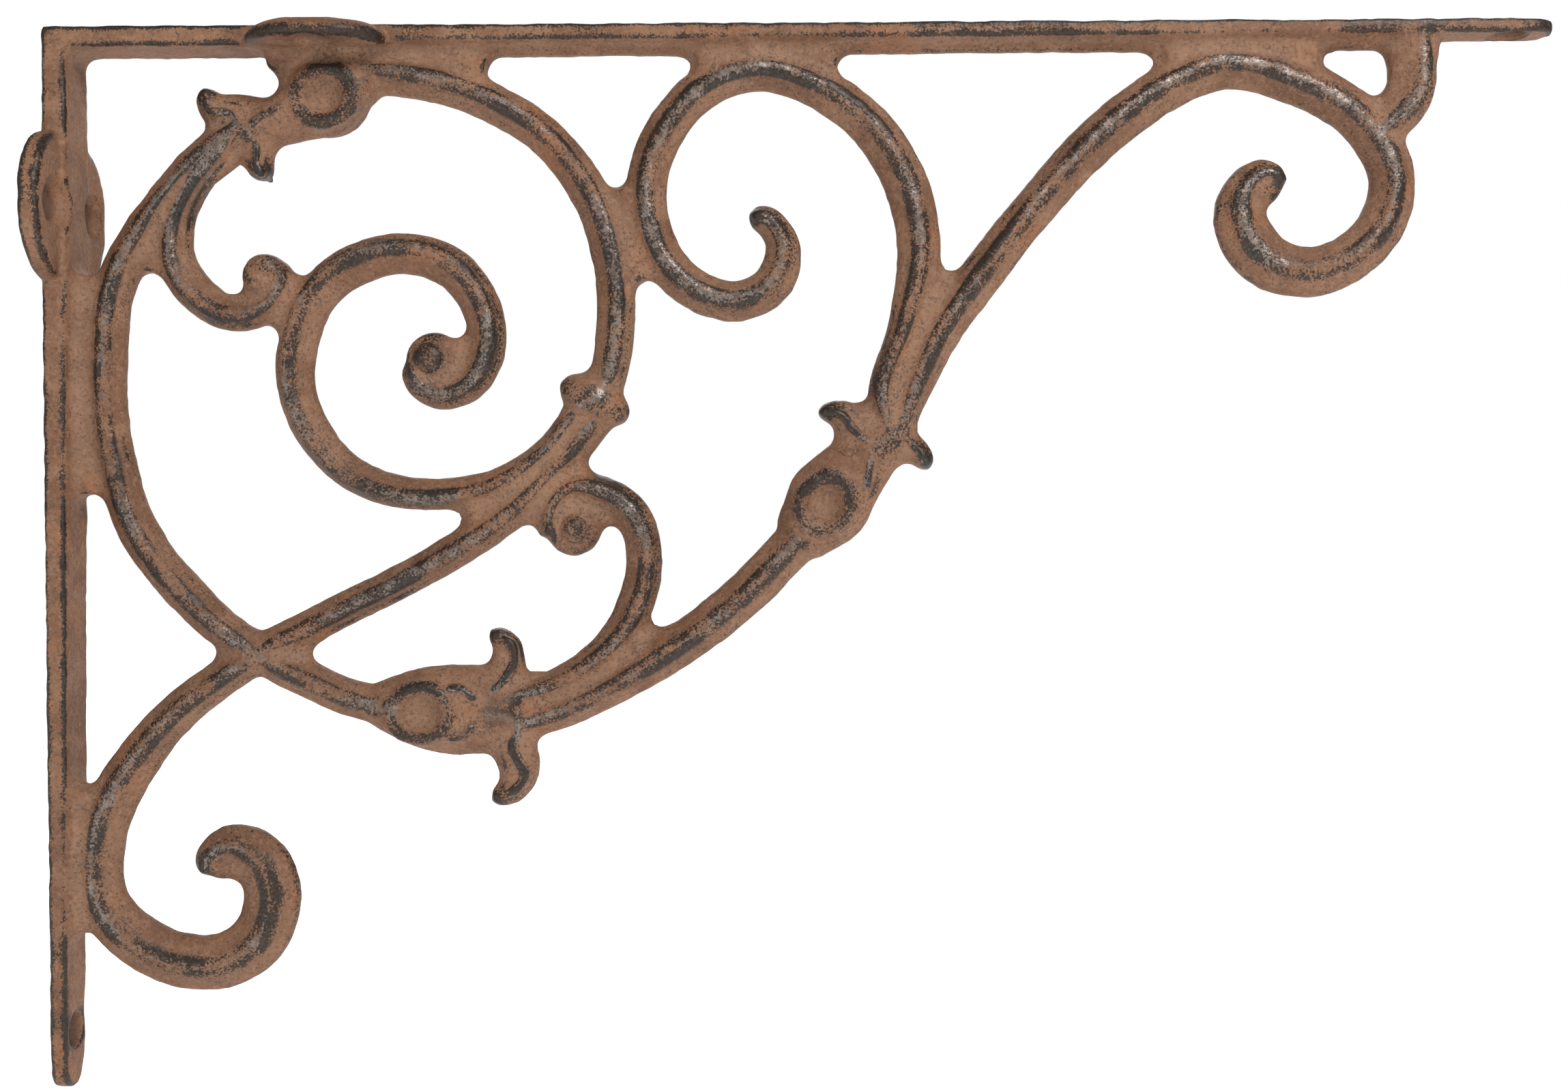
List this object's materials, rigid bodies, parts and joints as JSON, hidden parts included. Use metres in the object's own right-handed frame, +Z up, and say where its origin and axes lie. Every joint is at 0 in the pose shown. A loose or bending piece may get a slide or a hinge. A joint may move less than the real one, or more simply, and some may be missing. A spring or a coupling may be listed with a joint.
{
  "type": "cast iron shelf bracket",
  "caption": "Right-angled cast-iron shelf bracket with scrollwork between a wall leg and a shelf leg, screw pads near the corner and a countersunk hole at each leg's end.",
  "frame": {"origin": "on the wall plane, at the middle of the wall pad, on the bracket's plane of symmetry", "axes": "+X out from the wall along the shelf leg, +Y across the bracket, +Z up; the wall is at X = 0 and the shelf rests on Z = 0.035"},
  "size_m": [0.2955, 0.0334, 0.2076],
  "materials": {
    "cast_iron": "bare casting with a thin brown rust, darker and rubbed grey along the ridges"
  },
  "bodies": {
    "root": {"wall_pad": "cast_iron", "shelf_pad": "cast_iron", "corner_angle": "cast_iron", "wall_leg": "cast_iron", "shelf_leg": "cast_iron", "top_bud": "cast_iron", "right_bud": "cast_iron", "bottom_bud": "cast_iron", "collar_bead": "cast_iron", "ring_left_arc": "cast_iron", "ring_bottom_arc": "cast_iron", "top_arch": "cast_iron", "bud_scroll_bulb": "cast_iron", "bud_scroll": "cast_iron", "spiral_turn": "cast_iron", "spiral_curl": "cast_iron", "spiral_eye": "cast_iron", "diagonal_stem": "cast_iron", "lower_scroll_stem": "cast_iron", "lower_scroll_curl": "cast_iron", "middle_scroll_limb": "cast_iron", "middle_scroll_curl": "cast_iron", "right_scroll_stem": "cast_iron", "right_scroll_curl": "cast_iron", "tip_curl": "cast_iron", "c_scroll_bulb": "cast_iron", "c_scroll": "cast_iron", "lower_right_arc": "cast_iron", "top_bud_upper_leaf": "cast_iron", "top_bud_lower_leaf": "cast_iron", "right_bud_upper_leaf": "cast_iron", "right_bud_lower_leaf": "cast_iron", "bottom_bud_upper_leaf": "cast_iron", "bottom_bud_lower_leaf": "cast_iron"}
  },
  "joints": []
}
